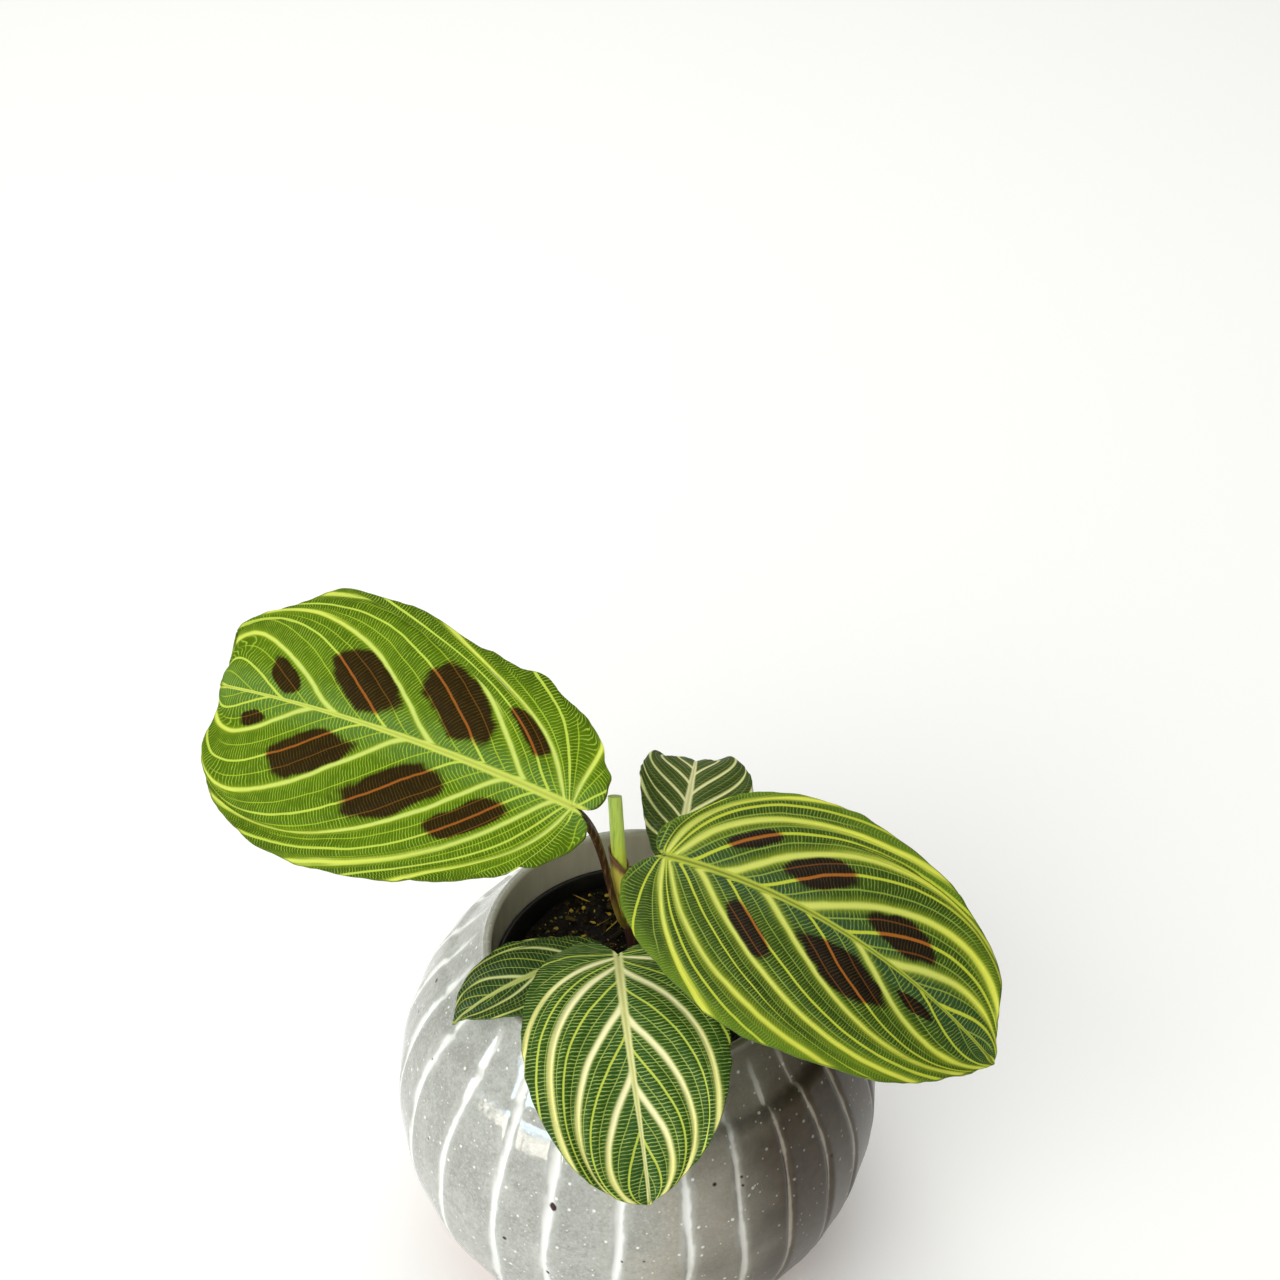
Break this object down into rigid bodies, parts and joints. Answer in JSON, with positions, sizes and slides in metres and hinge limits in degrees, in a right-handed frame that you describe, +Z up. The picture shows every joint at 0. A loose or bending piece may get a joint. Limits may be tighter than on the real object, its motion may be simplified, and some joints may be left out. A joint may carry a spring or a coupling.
{
  "type": "potted prayer plant",
  "caption": "Prayer plant with broad striped leaves on slim stalks, rooted in a black nursery pot inside a round glazed pot with hand-carved upright grooves.",
  "frame": {"origin": "middle of the glazed pot's flat foot, on the surface it stands on", "axes": "+Z up, -Y towards the viewer of the picture (the front), +X to the right"},
  "size_m": [0.1889, 0.1277, 0.1647],
  "materials": {
    "pot_glaze": "glossy pale grey-green glaze with dark iron specks",
    "nursery_plastic": "black moulded plastic",
    "potting_soil": "dark loose potting soil with bark chips",
    "leaf_bright": "thin satin leaf, yellow-green with paler veins and brown marks",
    "leaf_deep": "thin satin leaf, deep green with cream-yellow veins",
    "stalk_brown": "smooth reddish-brown stem",
    "stalk_green": "smooth light green stem"
  },
  "bodies": {
    "root": {"pot": "pot_glaze", "nursery_pot": "nursery_plastic", "soil": "potting_soil", "main_stem": "stalk_brown", "stem_sheath": "stalk_green", "cut_stub": "stalk_green", "petiole_left": "stalk_brown", "petiole_right": "stalk_green", "petiole_front": "stalk_green", "petiole_small_left": "stalk_green", "petiole_back": "stalk_green", "leaf_left": "leaf_bright", "leaf_right": "leaf_deep", "leaf_front": "leaf_deep", "leaf_small_left": "leaf_deep", "leaf_back": "leaf_deep"}
  },
  "joints": []
}
